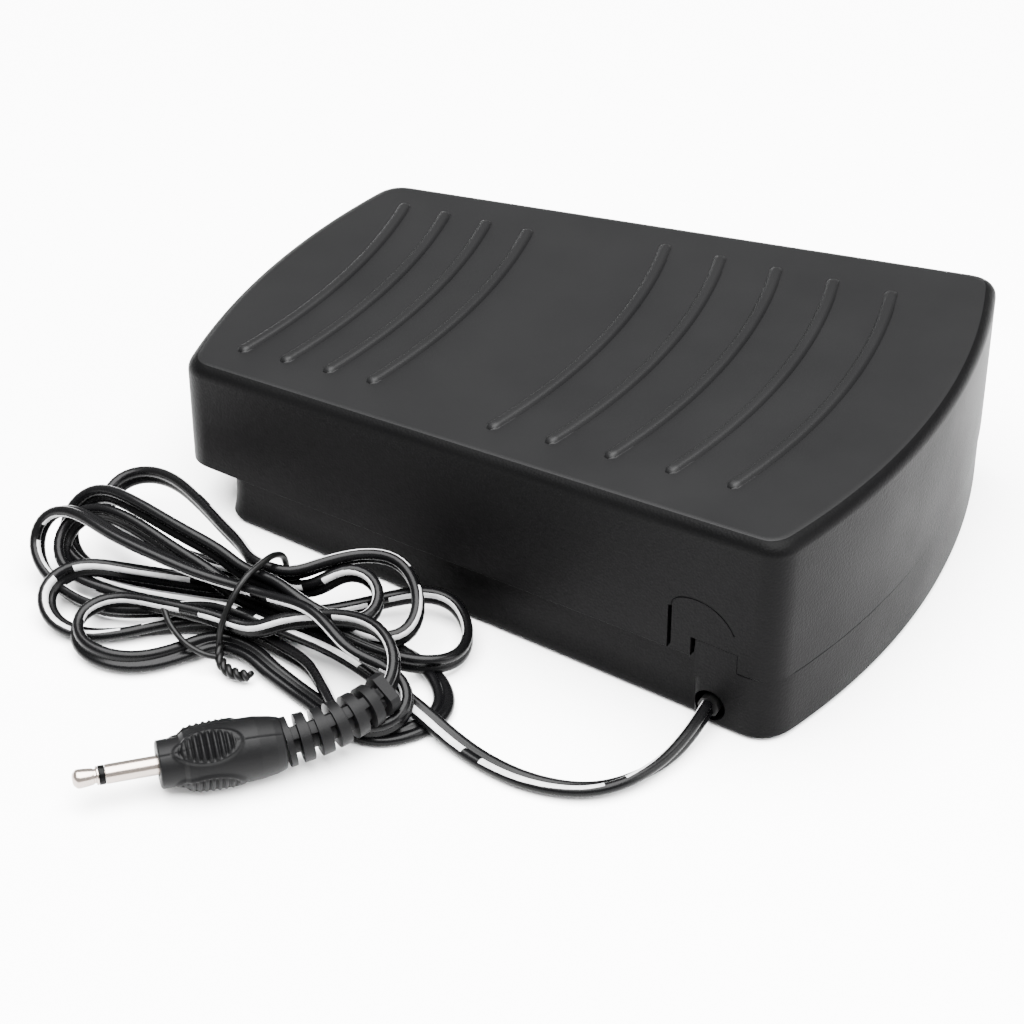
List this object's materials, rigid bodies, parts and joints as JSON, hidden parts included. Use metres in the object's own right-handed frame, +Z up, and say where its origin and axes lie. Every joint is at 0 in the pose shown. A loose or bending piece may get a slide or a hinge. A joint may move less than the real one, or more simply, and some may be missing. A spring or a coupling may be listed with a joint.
{
  "type": "foot switch pedal",
  "caption": "Low wedge-shaped foot switch: a ribbed treadle cover hinged on a base tray, with a bundled twin cord and a small mono plug.",
  "frame": {"origin": "middle of the housing footprint, on the surface it stands on", "axes": "+X towards the hinge and cord end, +Y away from the side the cord leaves, +Z up"},
  "size_m": [0.153, 0.172, 0.0451],
  "materials": {
    "housing_black": "moulded black plastic, fine spark texture, satin",
    "cover_black": "moulded black plastic, fine matt grain on top, spark texture on the skirt",
    "steel": "plain zinc-plated steel",
    "spring_steel": "bright spring wire",
    "soft_rubber": "soft matt rubber",
    "brown_board": "moulded brown phenolic",
    "contact_brass": "rolled brass strip",
    "cord_vinyl": "semi-gloss black vinyl, one conductor with a broken pale stripe",
    "wire_white": "white vinyl insulation",
    "tie_black": "black plastic-coated wire tie",
    "plug_nickel": "nickel plate, slightly warm",
    "plug_insulator": "black insulating ring",
    "plug_black": "satin black moulded vinyl"
  },
  "bodies": {
    "base": {"base_tray": "housing_black", "hinge_pin_front": "steel", "hinge_pin_rear": "steel", "return_spring_front": "spring_steel", "return_spring_rear": "spring_steel", "stop_bumper_front": "soft_rubber", "stop_bumper_rear": "soft_rubber", "rubber_foot_1": "soft_rubber", "rubber_foot_2": "soft_rubber", "rubber_foot_3": "soft_rubber", "rubber_foot_4": "soft_rubber", "switch_block": "brown_board", "fixed_contact": "contact_brass", "fixed_button": "steel", "strip_screw": "steel", "leaf_screw": "steel", "cord_clamp": "housing_black", "clamp_screw_left": "steel", "clamp_screw_right": "steel", "cord_tail": "cord_vinyl", "lead_wire_strip": "cord_vinyl", "lead_wire_leaf": "wire_white", "cord_run": "cord_vinyl", "cord_hank": "cord_vinyl", "twist_tie": "tie_black", "plug_tip": "plug_nickel", "plug_sleeve": "plug_nickel", "plug_ring": "plug_insulator", "plug_body": "plug_black", "plug_relief": "plug_black"},
    "cover": {"treadle_cover": "cover_black"},
    "leaf": {"contact_leaf": "contact_brass", "leaf_button": "steel"}
  },
  "joints": [
    {"name": "cover_hinge", "type": "hinge", "parent": "base", "child": "cover", "pos_m": [0.049, 0, 0.022], "axis": [0, -1, 0], "range_deg": [0, 3], "stiffness_Nm_per_rad": 4, "springref_deg": -3.44, "deforming": ["return_spring_front", "return_spring_rear"]},
    {"name": "leaf_flex", "type": "hinge", "parent": "base", "child": "leaf", "pos_m": [0.0145, 0, 0.0133], "axis": [0, -1, 0], "range_deg": [0, 2.7]}
  ],
  "couplings": [
    {"joint": "leaf_flex", "follows": "cover_hinge", "ratio": 0.89}
  ]
}
